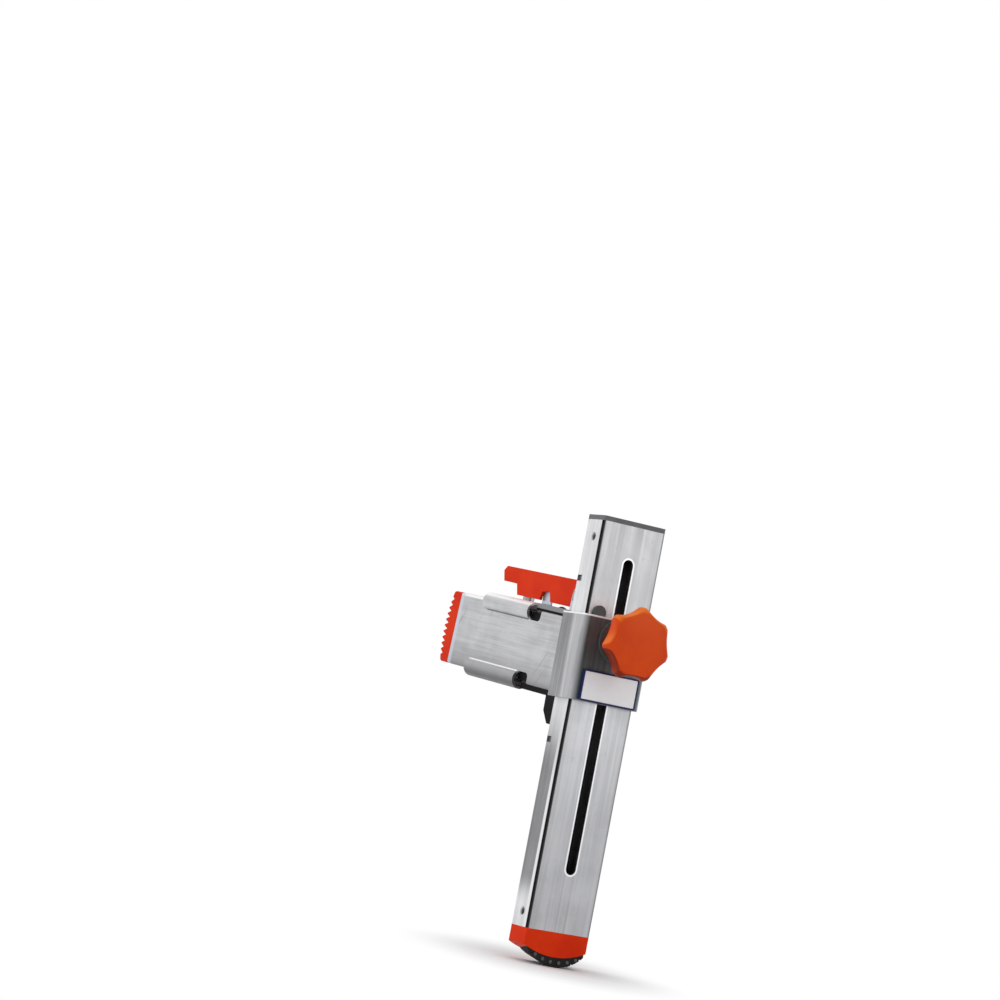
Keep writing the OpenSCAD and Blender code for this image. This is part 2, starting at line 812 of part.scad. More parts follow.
// Lever's body: front plate with the whole outline, hollow bar along the top, solid tail round the hinge
module lever_body() {
    tail_x = lever_x + tail_share * lever_len;
    roof_z = sleeve_top + roof_share * lever_h;
    hollow_x = lever_x + 2 * lever_t;
    difference() {
        across_y(lever_w)
            union() {
                polygon([for (s = lever_shares) [lever_x + s[0] * lever_len, sleeve_top + s[1] * lever_h]]);
                translate([hinge_x, hinge_z])
                    circle(tail_r);
            }
        translate([lever_x - over, lever_t - lever_w / 2, sleeve_top])
            cube([tail_x - lever_x + over, lever_w, bar_z - sleeve_top]);
        translate([hollow_x, lever_t - lever_w / 2, bar_z - over])
            cube([tail_x - hollow_x, lever_w - 2 * lever_t, roof_z - bar_z + over]);
    }
    translate([lock_x, 0, sleeve_top + boss_share * lever_h])
        cylinder(r = lock_r + boss_t, h = (roof_share - boss_share) * lever_h + over);
}

module latch_lever() {
    pocket_x = lever_x + pocket_share * lever_len;
    color([0.87, 0.20, 0.06])
    difference() {
        lever_body();
        translate([hinge_x, 0, hinge_z])
            rod_y(pin_r + fit, 2 * lever_w);
        translate([pocket_x, -pocket_w / 2, sleeve_top])
            cube([2 * tail_r + hinge_x - pocket_x, pocket_w, pocket_top_share * lever_h]);
        translate([0, coil_len / 2, hinge_z + coil_r])
            rod_x(wire_r + gap, leg_end - over, pocket_x + over);
        translate([lock_x, 0, sleeve_top])
            cylinder(r = lock_r + fit, h = lever_h * pocket_top_share);
    }
}

module lock_pin() {
    low = socket_h / 2 - lock_in;
    color([0.62, 0.63, 0.65])
    translate([lock_x, 0, low]) {
        cylinder(r1 = lock_r - lock_bevel, r2 = lock_r, h = lock_bevel);
        translate([0, 0, lock_bevel])
            cylinder(r = lock_r, h = sleeve_top + lever_h * pocket_top_share - low - lock_bevel);
    }
}

module clamp_plate() {
    color([0.55, 0.56, 0.58])
    leg_frame()
    translate([0, 0, bolt_z])
        difference() {
            translate([plate_x, -clamp_w / 2, -clamp_w / 2])
                cube([clamp_t, clamp_w, clamp_w]);
            rod_x(bolt_r + fit, -leg_t, leg_t);
        }
}

module clamp_bolt() {
    color([0.64, 0.65, 0.67])
    leg_frame()
    translate([0, 0, bolt_z]) {
        rod_x(head_r, plate_x - head_t, plate_x);
        rod_x(bolt_r, plate_x - head_t / 2, knob_x + insert_len - bolt_short);
    }
}

module clamp_washer() {
    color([0.72, 0.73, 0.75])
    leg_frame()
    translate([0, 0, bolt_z])
        difference() {
            rod_x(washer_r, face_x, face_x + washer_t);
            rod_x(bolt_r + 2 * fit, 0, box_t);
        }
}

// Outline of the knob's lobes, joined by straight lines
module lobe_outline() {
    polygon([for (k = [0 : lobe_n - 1], s = [-1, 1]) lobe_side(k, s)]);
    for (k = [0 : lobe_n - 1])
        translate(lobe_mid(k))
            circle(lobe_r);
}

// Flutes between the lobes, leaning so that they are deeper towards the hub
module knob_flutes() {
    lean = atan(dent_lean / knob_t);
    for (k = [0 : lobe_n - 1])
        rotate((2 * k + 1) * lobe_half)
            translate([dent_at - dent_in, 0, knob_t])
                rotate([0, lean, 0])
                    cylinder(r = dent_r, h = 4 * knob_t, center = true, $fn = 128);
}

// Half section of the knob's head: round rim, longer rounding towards the hub, slightly domed front
module head_section() {
    ball = (knob_r * knob_r + knob_dome * knob_dome) / (2 * knob_dome);
    intersection() {
        union() {
            square([knob_r - knob_back, knob_back + over]);
            intersection() {
                translate([knob_r - knob_back, knob_back])
                    circle(knob_back);
                square([knob_r, knob_back]);
            }
            translate([0, knob_back]) {
                square([knob_r, knob_t - knob_edge - knob_back]);
                square([knob_r - knob_edge, knob_t + knob_dome - knob_back]);
            }
            translate([knob_r - knob_edge, knob_t - knob_edge])
                circle(knob_edge);
        }
        translate([0, knob_t + knob_dome - ball])
            circle(ball, $fn = 256);
        square([knob_r, knob_t + knob_dome]);
    }
}

module star_knob() {
    color([0.86, 0.25, 0.05])
    leg_frame()
    translate([knob_x, 0, bolt_z])
        rotate([0, 90, 0])
            difference() {
                union() {
                    cylinder(r = hub_r, h = hub_len + over);
                    translate([0, 0, hub_len])
                        rotate(180)
                            difference() {
                                intersection() {
                                    linear_extrude(knob_t + knob_dome)
                                        lobe_outline();
                                    rotate_extrude($fn = 128)
                                        head_section();
                                }
                                knob_flutes();
                            }
                }
                translate([0, 0, -over])
                    cylinder(r = insert_r + fit, h = insert_len + over);
            }
}

module knob_insert() {
    color([0.75, 0.62, 0.30])
    leg_frame()
    translate([0, 0, bolt_z])
        difference() {
            rod_x(insert_r, knob_x, knob_x + insert_len);
            rod_x(bolt_r + fit, 0, 2 * box_t);
        }
}

// Places of the rivets in the leg's front and rear walls
module leg_rivet_places(z) {
    for (s = [-1, 1])
        translate([0, s * leg_w / 2, z])
            rotate([-s * 90, 0, 0])
                children();
}

module leg_tube() {
    color([0.82, 0.83, 0.85])
    leg_frame()
    difference() {
        translate([0, 0, leg_low])
            linear_extrude(leg_len)
                difference() {
                    rrect(leg_t, leg_w, leg_r);
                    square([bore_t, bore_w], center = true);
                    for (s = [-1, 1])
                        translate([leg_t / 2 - groove_in - groove_w / 2, s * leg_w / 2])
                            square([groove_w, 2 * groove_d], center = true);
                }
        for (z = [slot_top - slot_w / 2, slot_low + slot_w / 2])
            translate([0, 0, z])
                rod_x(slot_w / 2, 0, leg_t);
        translate([0, -slot_w / 2, slot_low + slot_w / 2])
            cube([leg_t, slot_w, slot_len - slot_w]);
        for (z = [index_hi, index_lo], s = [-1, 1])
            translate([index_in - leg_t / 2, s * leg_w / 2 - leg_wall - over, z - index_h / 2])
                cube([index_w, 2 * (leg_wall + over), index_h]);
        for (z = [cap_rivet_z, shoe_rivet_z])
            leg_rivet_places(z)
                translate([0, 0, -leg_wall - over])
                    cylinder(r = rivet_r + fit, h = leg_wall + 2 * over);
    }
}

// Hollow plug that fits inside the leg's end
module plug(len, z) {
    difference() {
        linear_extrude(len)
            difference() {
                square([bore_t - 2 * fit, bore_w - 2 * fit], center = true);
                square([bore_t - 2 * plug_wall, bore_w - 2 * plug_wall], center = true);
            }
        translate([0, 0, z])
            rod_y(rivet_r + fit, 2 * leg_w);
    }
}

module leg_cap() {
    color([0.55, 0.56, 0.58])
    leg_frame() {
        translate([0, 0, leg_top])
            linear_extrude(cap_h)
                rrect(leg_t, leg_w, leg_r);
        translate([0, 0, leg_top - plug_len])
            plug(plug_len, cap_rivet_z - leg_top + plug_len);
    }
}

module cap_rivets() {
    color([0.70, 0.71, 0.73])
    leg_frame()
        leg_rivet_places(cap_rivet_z)
            rivet(rivet_r, rivet_head, rivet_rise, leg_wall + plug_wall);
}

module foot_shoe() {
    color([0.88, 0.24, 0.07])
    leg_frame()
    difference() {
        union() {
            intersection() {
                translate([0, 0, shoe_low - over])
                    linear_extrude(shoe_h + over)
                        rrect(leg_t, leg_w, leg_r);
                translate([0, 0, shoe_mid])
                    rod_x(shoe_arc, -leg_t, leg_t);
            }
            translate([0, 0, leg_low])
                plug(plug_len, shoe_rivet_z - leg_low);
        }
        translate([-key_t / 2 - fit, -key_w / 2 - fit, shoe_low - over])
            cube([key_t + 2 * fit, key_w + 2 * fit, key_h + over + fit]);
    }
}

module foot_tread() {
    step = block_n / 2 - 1;
    color([0.07, 0.07, 0.07])
    leg_frame()
    union() {
        difference() {
            union() {
                intersection() {
                    translate([-leg_t, -tread_w / 2, sole_low - over])
                        cube([2 * leg_t, tread_w, shoe_h]);
                    translate([-tread_t / 2, sole_shift, sole_mid])
                        rotate([0, 90, 0])
                            cylinder(r1 = tread_arc - sole_taper, r2 = tread_arc, h = tread_t);
                }
                for (i = [0 : stud_n - 1])
                    translate([0, sole_shift, stud_mid])
                        rotate([(i - (stud_n - 1) / 2) * stud_turn, 0, 0])
                            translate([0, 0, -stud_arc])
                                rod_x(stud_r, tread_t / 2 - over, tread_t / 2 + stud_rise);
            }
            translate([0, 0, shoe_mid])
                rod_x(shoe_arc + fit, -leg_t, leg_t);
            for (i = [-step : step])
                translate([0, sole_shift, sole_mid])
                    rotate([i * block_pitch, 0, 0])
                        translate([0, 0, sole_taper / 2 - tread_arc])
                            rotate([0, sole_slope, 0])
                                translate([-leg_t, -block_gap / 2, -over])
                                    cube([2 * leg_t, block_gap, block_d + over]);
        }
        translate([-key_t / 2, -key_w / 2, shoe_low - over])
            cube([key_t, key_w, key_h + over]);
    }
}

module shoe_rivets() {
    color([0.70, 0.71, 0.73])
    leg_frame()
        leg_rivet_places(shoe_rivet_z)
            rivet(rivet_r, rivet_head, rivet_rise, leg_wall + plug_wall);
}

sleeve_tube();
mouth_collar();
bar_stop();
stop_rivets();
guide_box();
weld_beads();
guide_liner();
name_plate();
plate_frame();
guide_pad();
pad_screws();
latch_pad();
latch_base();
base_rivets();
latch_pin();
pin_clips();
latch_spring();
latch_lever();
lock_pin();
clamp_plate();
clamp_bolt();
clamp_washer();
star_knob();
knob_insert();
leg_tube();
leg_cap();
cap_rivets();
foot_shoe();
foot_tread();
shoe_rivets();
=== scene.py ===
import json
import math

import bpy
from mathutils import Matrix, Vector


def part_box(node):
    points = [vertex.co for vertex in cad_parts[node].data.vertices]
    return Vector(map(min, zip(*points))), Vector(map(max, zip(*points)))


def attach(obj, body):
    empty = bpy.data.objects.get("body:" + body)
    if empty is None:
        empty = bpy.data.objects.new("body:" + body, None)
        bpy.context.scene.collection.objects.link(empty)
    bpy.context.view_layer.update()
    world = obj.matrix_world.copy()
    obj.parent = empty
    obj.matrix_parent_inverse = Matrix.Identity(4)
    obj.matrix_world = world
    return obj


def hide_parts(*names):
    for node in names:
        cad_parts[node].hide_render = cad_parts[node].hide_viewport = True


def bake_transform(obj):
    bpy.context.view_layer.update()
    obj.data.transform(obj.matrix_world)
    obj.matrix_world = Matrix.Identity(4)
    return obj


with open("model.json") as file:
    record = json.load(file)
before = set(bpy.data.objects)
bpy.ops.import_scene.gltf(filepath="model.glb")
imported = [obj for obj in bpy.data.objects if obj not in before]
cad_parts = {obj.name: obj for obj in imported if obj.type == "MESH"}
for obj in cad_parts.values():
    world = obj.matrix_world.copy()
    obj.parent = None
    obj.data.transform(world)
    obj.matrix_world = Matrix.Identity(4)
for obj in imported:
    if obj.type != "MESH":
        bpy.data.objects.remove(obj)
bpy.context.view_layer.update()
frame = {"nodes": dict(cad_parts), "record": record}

nodes = frame["nodes"]
bodyOf = {n: b for b, members in frame["record"]["behaviour"]["bodies"].items() for n in members}
slotOf = {s["node"]: s["material_slot"] for s in frame["record"]["subparts"]}
print("frame loaded with", len(nodes), "nodes")

# the leg stands at this place and leans by this angle, foot outwards
legStand = {"x": 0.235, "splay": 3.5}
legLean = math.radians(legStand["splay"])
legFrame = Matrix.Translation((legStand["x"], 0, 0)) @ Matrix.Rotation(-legLean, 4, "Y")
legTurn = (0, legLean, 0)
legOut = tuple(legFrame.to_3x3() @ Vector((1, 0, 0)))

# how meshes are merged, rounded and shaded: distance in metres, angles in degrees
meshCare = {"merge": 0.000002, "flat": 0.4, "sharp": 35, "segments": 3, "smooth": 32}


# small helpers for working on one object at a time
def clearSelection():
    if bpy.context.object and bpy.context.object.mode != "OBJECT":
        bpy.ops.object.mode_set(mode="OBJECT")
    bpy.ops.object.select_all(action="DESELECT")


def makeActive(piece):
    clearSelection()
    piece.select_set(True)
    bpy.context.view_layer.objects.active = piece


def nameActive(name):
    piece = bpy.context.object
    piece.name = name
    piece.data.name = name
    return piece


def editAll(piece):
    # everything selected, in edit mode
    makeActive(piece)
    bpy.ops.object.mode_set(mode="EDIT")
    bpy.ops.mesh.select_all(action="SELECT")


def editEdges(piece, test):
    # edges chosen by the places of their ends, in edit mode
    makeActive(piece)
    mesh = piece.data
    for part in (mesh.vertices, mesh.edges, mesh.polygons):
        part.foreach_set("select", [False] * len(part))
    for edge in mesh.edges:
        edge.select = test(*(mesh.vertices[i].co for i in edge.vertices))
    bpy.context.tool_settings.mesh_select_mode = (False, True, False)
    bpy.ops.object.mode_set(mode="EDIT")


def endEdit():
    bpy.ops.object.mode_set(mode="OBJECT")


def applyModifier(piece, kind, **settings):
    makeActive(piece)
    mod = piece.modifiers.new(kind.title(), kind)
    for key, value in settings.items():
        setattr(mod, key, value)
    bpy.ops.object.modifier_apply(modifier=mod.name)


def combine(piece, other, operation):
    applyModifier(piece, "BOOLEAN", object=other, operation=operation, solver="EXACT")
    bpy.data.objects.remove(other)


def roundEdges(piece, width):
    applyModifier(piece, "BEVEL", width=width, segments=meshCare["segments"], limit_method="ANGLE",
                  angle_limit=math.radians(meshCare["sharp"]), use_clamp_overlap=True)


def settle(piece, turn=None):
    # place goes into the mesh, so the object ends at the origin
    makeActive(piece)
    if turn is not None:
        piece.matrix_world = turn @ piece.matrix_world
    bpy.ops.object.transform_apply(location=True, rotation=True, scale=True)
    bpy.ops.object.shade_smooth_by_angle(angle=math.radians(meshCare["smooth"]))
    applyModifier(piece, "WEIGHTED_NORMAL", keep_sharp=True)


def mount(piece, node, winds=None):
    # the piece takes over finish and slot of the solid that it stands for, and its body unless winds is
    # given, when it is baked in place instead
    piece.data.materials.clear()
    piece.data.materials.append(finishOf[node])
    if winds:
        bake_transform(piece)
    else:
        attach(piece, bodyOf[node])
    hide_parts(node)


def softCopy(node, name, width):
    # copy of a construction solid with its sharp edges rounded off
    piece = bpy.data.objects.new(name, nodes[node].data.copy())
    piece.data.name = name
    bpy.context.scene.collection.objects.link(piece)
    editAll(piece)
    bpy.ops.mesh.remove_doubles(threshold=meshCare["merge"])
    bpy.ops.mesh.dissolve_limited(angle_limit=math.radians(meshCare["flat"]))
    endEdit()
    roundEdges(piece, width)
    settle(piece)
    return piece


# small helpers for shader nodes
def newGroup(name, inputs, outputs):
    group = bpy.data.node_groups.new(name, "ShaderNodeTree")
    for label, kind, value in inputs:
        socket = group.interface.new_socket(label, in_out="INPUT", socket_type=kind)
        if value is not None:
            socket.default_value = value
    for label in outputs:
        group.interface.new_socket(label, in_out="OUTPUT", socket_type="NodeSocketFloat")
    return group, group.nodes.new("NodeGroupInput"), group.nodes.new("NodeGroupOutput")


def feed(tree, socket, value):
    # link a socket, or set a plain value
    if isinstance(value, bpy.types.NodeSocket):
        tree.links.new(value, socket)
    else:
        socket.default_value = value


def addNode(tree, kind, inputs=None, **settings):
    node = tree.nodes.new(kind)
    for key, value in settings.items():
        setattr(node, key, value)
    for key, value in (inputs or {}).items():
        feed(tree, node.inputs[key], value)
    return node


def ramp(tree, value, low, high):
    # smooth mask, 0 at low and 1 at high
    return addNode(tree, "ShaderNodeMapRange", {"Value": value, "From Min": low, "From Max": high},
                   interpolation_type="SMOOTHSTEP").outputs["Result"]


def spread(tree, mask, low, high):
    # low where the mask is 0, high where it is 1
    return addNode(tree, "ShaderNodeMapRange",
                   {"Value": mask, "To Min": low, "To Max": high}).outputs["Result"]


def mathNode(tree, operation, a, b=0.0):
    return addNode(tree, "ShaderNodeMath", {0: a, 1: b}, operation=operation).outputs["Value"]


def times(tree, first, *others):
    for other in others:
        first = mathNode(tree, "MULTIPLY", first, other)
    return first


def most(tree, first, *others):
    for other in others:
        first = mathNode(tree, "MAXIMUM", first, other)
    return first


def band(tree, value, low, high, soft):
    # mask of the values from low to high, with soft ends
    return times(tree, ramp(tree, value, low - soft, low), ramp(tree, value, high + soft, high))


def split(tree, vector):
    return addNode(tree, "ShaderNodeSeparateXYZ", {0: vector}).outputs


def scaled(tree, vector, factors):
    return addNode(tree, "ShaderNodeVectorMath", {0: vector, 1: factors},
                   operation="MULTIPLY").outputs["Vector"]


def rotated(tree, vector, angles):
    return addNode(tree, "ShaderNodeVectorRotate", {"Vector": vector, "Rotation": angles},
                   rotation_type="EULER_XYZ").outputs["Vector"]


def noise(tree, **inputs):
    return addNode(tree, "ShaderNodeTexNoise", inputs).outputs["Fac"]


def mixTone(tree, mask, a, b):
    # colour a where the mask is 0 and b where it is 1, through the node's colour sockets
    node = addNode(tree, "ShaderNodeMix", {0: mask}, data_type="RGBA")
    for socket, value in zip((s for s in node.inputs if s.type == "RGBA"), (a, b)):
        feed(tree, socket, value if isinstance(value, bpy.types.NodeSocket) else (*value, 1))
    return next(s for s in node.outputs if s.type == "RGBA")


def legPlace(tree, coords):
    # the place in the leg's own frame: outwards, away from its middle plane, up the leg
    moved = addNode(tree, "ShaderNodeVectorMath", {0: coords.outputs["Object"], 1: (legStand["x"], 0, 0)},
                    operation="SUBTRACT").outputs["Vector"]
    out, side, up = split(tree, rotated(tree, moved, legTurn))
    return out, mathNode(tree, "ABSOLUTE", side), up


def outwards(tree, coords):
    # 1 where the surface looks away from the sleeve, -1 where it looks back at it
    return addNode(tree, "ShaderNodeVectorMath", {0: coords.outputs["Normal"], 1: legOut},
                   operation="DOT_PRODUCT").outputs["Value"]


# drawn metal: lines along the drawing direction, clouds of oxide, a few handling scratches
drawn = {"stretch": (20, 500, 500), "cloud": 22, "scratch": 60, "cloudShare": 0.45, "tone": (0.3, 0.7),
         "slant": (0.5, 0.9, 0.35), "hairStretch": (0.25, 6, 6), "hair": (0.66, 0.73)}


def drawnMetalGroup(s):
    group, start, end = newGroup(
        "drawnMetal",
        [("Vector", "NodeSocketVector", None), ("Turn", "NodeSocketVector", (0, 0, 0)),
         ("Stretch", "NodeSocketVector", s["stretch"]), ("Cloud", "NodeSocketFloat", s["cloud"]),
         ("Scratch", "NodeSocketFloat", s["scratch"])],
        ["Tone", "Scratches", "Height"])
    given = start.outputs
    turned = rotated(group, given["Vector"], given["Turn"])
    stretched = scaled(group, turned, given["Stretch"])
    lines = noise(group, Vector=stretched, Scale=1.0, Detail=5.0, Roughness=0.62)
    cloud = noise(group, Vector=turned, Scale=given["Cloud"], Detail=4.0, Roughness=0.6, Distortion=0.6)
    mixed = addNode(group, "ShaderNodeMix", {"Factor": s["cloudShare"], "A": lines, "B": cloud},
                    data_type="FLOAT").outputs["Result"]
    slanted = rotated(group, turned, s["slant"])
    hair = noise(group, Vector=scaled(group, slanted, s["hairStretch"]), Scale=given["Scratch"], Detail=2.0)
    feed(group, end.inputs["Tone"], ramp(group, mixed, *s["tone"]))
    feed(group, end.inputs["Scratches"], ramp(group, hair, *s["hair"]))
    feed(group, end.inputs["Height"], lines)
    return group


# moulded skin: slow colour drift, matt rubbed patches and the fine grain of a mould
moulded = {"grain": 1800, "drift": 30, "patches": 140.0, "tone": (0.3, 0.7), "rub": (0.48, 0.72)}


def mouldedSkinGroup(s):
    group, start, end = newGroup(
        "mouldedSkin",
        [("Vector", "NodeSocketVector", None), ("Grain", "NodeSocketFloat", s["grain"]),
         ("Drift", "NodeSocketFloat", s["drift"])],
        ["Tone", "Rub", "Height"])
    given = start.outputs
    drift = noise(group, Vector=given["Vector"], Scale=given["Drift"], Detail=3.0)
    grain = noise(group, Vector=given["Vector"], Scale=given["Grain"], Detail=2.0)
    rub = noise(group, Vector=given["Vector"], Scale=s["patches"], Detail=5.0, Roughness=0.7)
    feed(group, end.inputs["Tone"], ramp(group, drift, *s["tone"]))
    feed(group, end.inputs["Rub"], ramp(group, rub, *s["rub"]))
    feed(group, end.inputs["Height"], grain)
    return group


drawnMetal = drawnMetalGroup(drawn)
mouldedSkin = mouldedSkinGroup(moulded)


def newFinish(name):
    finish = bpy.data.materials.new(name)
    finish.use_nodes = True
    tree = finish.node_tree
    tree.nodes.clear()
    shader = tree.nodes.new("ShaderNodeBsdfPrincipled")
    addNode(tree, "ShaderNodeOutputMaterial", {"Surface": shader.outputs["BSDF"]})
    coords = tree.nodes.new("ShaderNodeTexCoord")
    return finish, tree, shader, coords


def addGrain(tree, coords, group, s):
    # a shared group in object coordinates, with this finish's own settings
    grain = addNode(tree, "ShaderNodeGroup", {"Vector": coords.outputs["Object"]}, node_tree=group)
    for socket in grain.inputs:
        if socket.name in s:
            socket.default_value = s[socket.name]
    return grain.outputs


def dress(tree, shader, values, height, s):
    # the shader gets its values and the bump
    for key, value in values.items():
        feed(tree, shader.inputs[key], value)
    node = addNode(tree, "ShaderNodeBump",
                   {"Height": height, "Strength": s["bump"], "Distance": s["bumpDepth"]})
    tree.links.new(node.outputs["Normal"], shader.inputs["Normal"])


# marks on the leg: painted shade in the long groove and on its lip, a painted highlight strip beside it
# towards the foot, a painted highlight round the slot on the outer face
legMarks = {"groove": (0.0096, 0.0129), "grooveSoft": 0.0002, "lip": (0.0288, 0.0291), "lipSoft": 0.0001,
            "strip": (0.0058, 0.0088), "stripSoft": 0.0008, "stripAlong": (0.0, -0.12), "slotMid": -0.043,
            "slotHalf": 0.12575, "slotHighlight": (0.00655, 0.00565), "slotHighlightFrom": (0.010, 0.011)}


def markLeg(tree, coords, colour, s, m):
    out, side, up = legPlace(tree, coords)
    grooveEnd = m["groove"][1]
    # painted shade in the long groove and on its lip
    lip = times(tree, ramp(tree, out, grooveEnd - m["lipSoft"], grooveEnd), ramp(tree, side, *m["lip"]))
    soot = most(tree, band(tree, out, *m["groove"], m["grooveSoft"]), lip)
    # painted highlight strip beside the groove, stronger towards the foot
    strip = times(tree, band(tree, out, *m["strip"], m["stripSoft"]), ramp(tree, up, *m["stripAlong"]))
    # distance from the line between the centres of the slot's round ends
    fromMid = mathNode(tree, "ABSOLUTE", mathNode(tree, "SUBTRACT", up, m["slotMid"]))
    beyond = most(tree, mathNode(tree, "SUBTRACT", fromMid, m["slotHalf"]), 0.0)
    away = mathNode(tree, "ADD", times(tree, beyond, beyond), times(tree, side, side))
    away = mathNode(tree, "SQRT", away)
    # painted highlight round the slot on the outer face
    slotHighlight = times(tree, ramp(tree, out, *m["slotHighlightFrom"]), ramp(tree, away, *m["slotHighlight"]))
    colour = mixTone(tree, most(tree, strip, slotHighlight), colour, s["polish"])
    colour = mixTone(tree, soot, colour, s["soot"])
    return colour, spread(tree, soot, s["metallic"], 0.0)


def toneLeg(tree, coords, tone, colour, s):
    # painted shade: darker at both ends
    place = split(tree, coords.outputs["Object"])
    for key in ("high", "low"):
        end = mixTone(tree, tone, s[key + "Dark"], s[key])
        colour = mixTone(tree, ramp(tree, place["Z"], *s[key + "At"]), colour, end)
    # painted light and shade on the narrow sides: light, then darker, and light again near the shoe
    side = mixTone(tree, tone, s["sideDark"], s["side"])
    sideLow = mixTone(tree, tone, s["sideLowDark"], s["sideLow"])
    narrowSideShade = times(tree, ramp(tree, place["Z"], *s["sideAt"]), ramp(tree, place["Z"], *s["sideTo"]))
    facing = mathNode(tree, "ABSOLUTE", split(tree, coords.outputs["Normal"])["Y"])
    colour = mixTone(tree, ramp(tree, facing, *s["narrow"]), colour, mixTone(tree, narrowSideShade, side, sideLow))
    # painted shade: the far one of them is darker
    rear = times(tree, ramp(tree, place["Y"], *s["rearAt"]), s["rearShare"])
    return mixTone(tree, rear, colour, s["rear"])


# marks on the sleeve: painted highlights along the upper edges and on the upper bead, painted shade in the
# crease under the upper bead, a painted highlight over the lower bead, painted shade underneath and a pale
# edge beside the collar
sleeveMarks = {"edge": (0.0284, 0.0296), "round": (0.995, 0.96), "bead": (0.0330, 0.0348), "beadFrom": 0.0557,
               "crease": 0.0222, "creaseHalf": 0.0004, "creaseSoft": 0.0004, "creaseTo": 0.1318,
               "upperFrom": (0.0565, 0.064), "lowerFrom": (0.047, 0.052), "step": 0.0002,
               "under": (-0.0265, -0.0345), "shadeShare": 0.8, "dim": (-0.004, -0.030), "dimShare": 0.65,
               "mouth": (0.0125, 0.0170), "mouthSoft": 0.0014, "mouthShare": 0.7, "markMetallic": 0.2}


def markSleeve(tree, coords, colour, s, m):
    place = split(tree, coords.outputs["Object"])
    along, up = place["X"], place["Z"]
    # painted highlight along the rounded upper edges, up to the bead
    beforeBead = ramp(tree, along, m["beadFrom"], m["beadFrom"] - m["step"])
    rounded = ramp(tree, split(tree, coords.outputs["Normal"])["Z"], *m["round"])
    edge = times(tree, ramp(tree, up, *m["edge"]), beforeBead, rounded)
    # painted shade in the crease under the upper bead, painted highlight in the one over the lower bead
    ended = ramp(tree, along, m["creaseTo"] + m["step"], m["creaseTo"])
    creases = []
    for z, start in ((m["crease"], m["upperFrom"]), (-m["crease"], m["lowerFrom"])):
        line = band(tree, up, z - m["creaseHalf"], z + m["creaseHalf"], m["creaseSoft"])
        creases.append(times(tree, line, ramp(tree, along, *start), ended))
    creaseShade, creaseHighlight = creases
    # painted highlights; painted shade underneath, darker towards the bottom
    light = most(tree, edge, ramp(tree, up, *m["bead"]), creaseHighlight)
    shade = most(tree, creaseShade, ramp(tree, up, *m["under"]))
    dim = times(tree, ramp(tree, up, *m["dim"]), m["dimShare"])
    mouth = times(tree, band(tree, along, *m["mouth"], m["mouthSoft"]), m["mouthShare"])
    colour = mixTone(tree, dim, colour, s["dim"])
    colour = mixTone(tree, times(tree, shade, m["shadeShare"]), colour, s["shade"])
    colour = mixTone(tree, light, colour, s["edge"])
    colour = mixTone(tree, mouth, colour, s["mouth"])
    return colour, spread(tree, most(tree, shade, light), s["metallic"], m["markMetallic"])


# bands on the guide, placed in the leg's frame: painted shade beside the sleeve, a painted highlight band
# before the corner, a dark outer face with painted highlights at its bends, a painted highlight along the top
# rim
guideMarks = {"dull": (0.006, -0.004), "shine": (0.0085, 0.0120), "cornerHighlightSoft": 0.0030, "facing": (0.35, 0.9),
              "turn": (0.0285, 0.0335), "rim": (0.0358, 0.0364)}


def markGuide(tree, coords, tone, colour, s, m):
    out, side, up = legPlace(tree, coords)
    outer = ramp(tree, outwards(tree, coords), *m["facing"])
    darker = mixTone(tree, tone, s["outerDark"], s["outer"])
    # painted highlights where the outer face bends
    darker = mixTone(tree, ramp(tree, side, *m["turn"]), darker, s["turned"])
    # painted shade beside the sleeve
    dull = mixTone(tree, tone, s["dull"], s["dullLight"])
    colour = mixTone(tree, ramp(tree, out, *m["dull"]), colour, dull)
    # painted highlight band before the corner
    colour = mixTone(tree, band(tree, out, *m["shine"], m["cornerHighlightSoft"]), colour, s["shine"])
    colour = mixTone(tree, outer, colour, darker)
    # painted highlight along the top rim
    colour = mixTone(tree, ramp(tree, up, *m["rim"]), colour, s["rim"])
    return colour, spread(tree, outer, s["metallic"], s["outerMetallic"])


# what a finish has unless it says otherwise
metalUsual = {"marks": 0.3, "bumpDepth": 0.0004}
plasticUsual = {"specular": 0.15, "bumpDepth": 0.0002}


def metalFinish(name, own):
    s = {**metalUsual, **own}
    finish, tree, shader, coords = newFinish(name)
    grain = addGrain(tree, coords, drawnMetal, s)
    tone = grain["Tone"]
    colour = mixTone(tree, tone, s["dark"], s["light"])
    metallic = s["metallic"]
    if "outer" in s:
        colour, metallic = markGuide(tree, coords, tone, colour, s, guideMarks)
    if "low" in s:
        colour = toneLeg(tree, coords, tone, colour, s)
    if "foot" in s:
        # the flat part is darker than what stands up from it
        height = split(tree, coords.outputs["Object"])["Z"]
        colour = mixTone(tree, ramp(tree, height, *s["footAt"]), colour, s["foot"])
    colour = mixTone(tree, times(tree, grain["Scratches"], s["marks"]), colour, s["scratch"])
    if "shade" in s:
        colour, metallic = markSleeve(tree, coords, colour, s, sleeveMarks)
    if "rightDark" in s:
        # painted highlight on one side of the domed heads and painted shade on the other
        turn = outwards(tree, coords)
        colour = mixTone(tree, ramp(tree, turn, *s["rightAt"]), colour, s["rightDark"])
        colour = mixTone(tree, ramp(tree, turn, *s["leftAt"]), colour, s["leftLight"])
    if "soot" in s:
        colour, metallic = markLeg(tree, coords, colour, s, legMarks)
    smooth, rough = s["rough"]
    values = {"Base Color": colour, "Metallic": metallic, "Roughness": spread(tree, tone, rough, smooth)}
    dress(tree, shader, values, grain["Height"], s)
    return finish


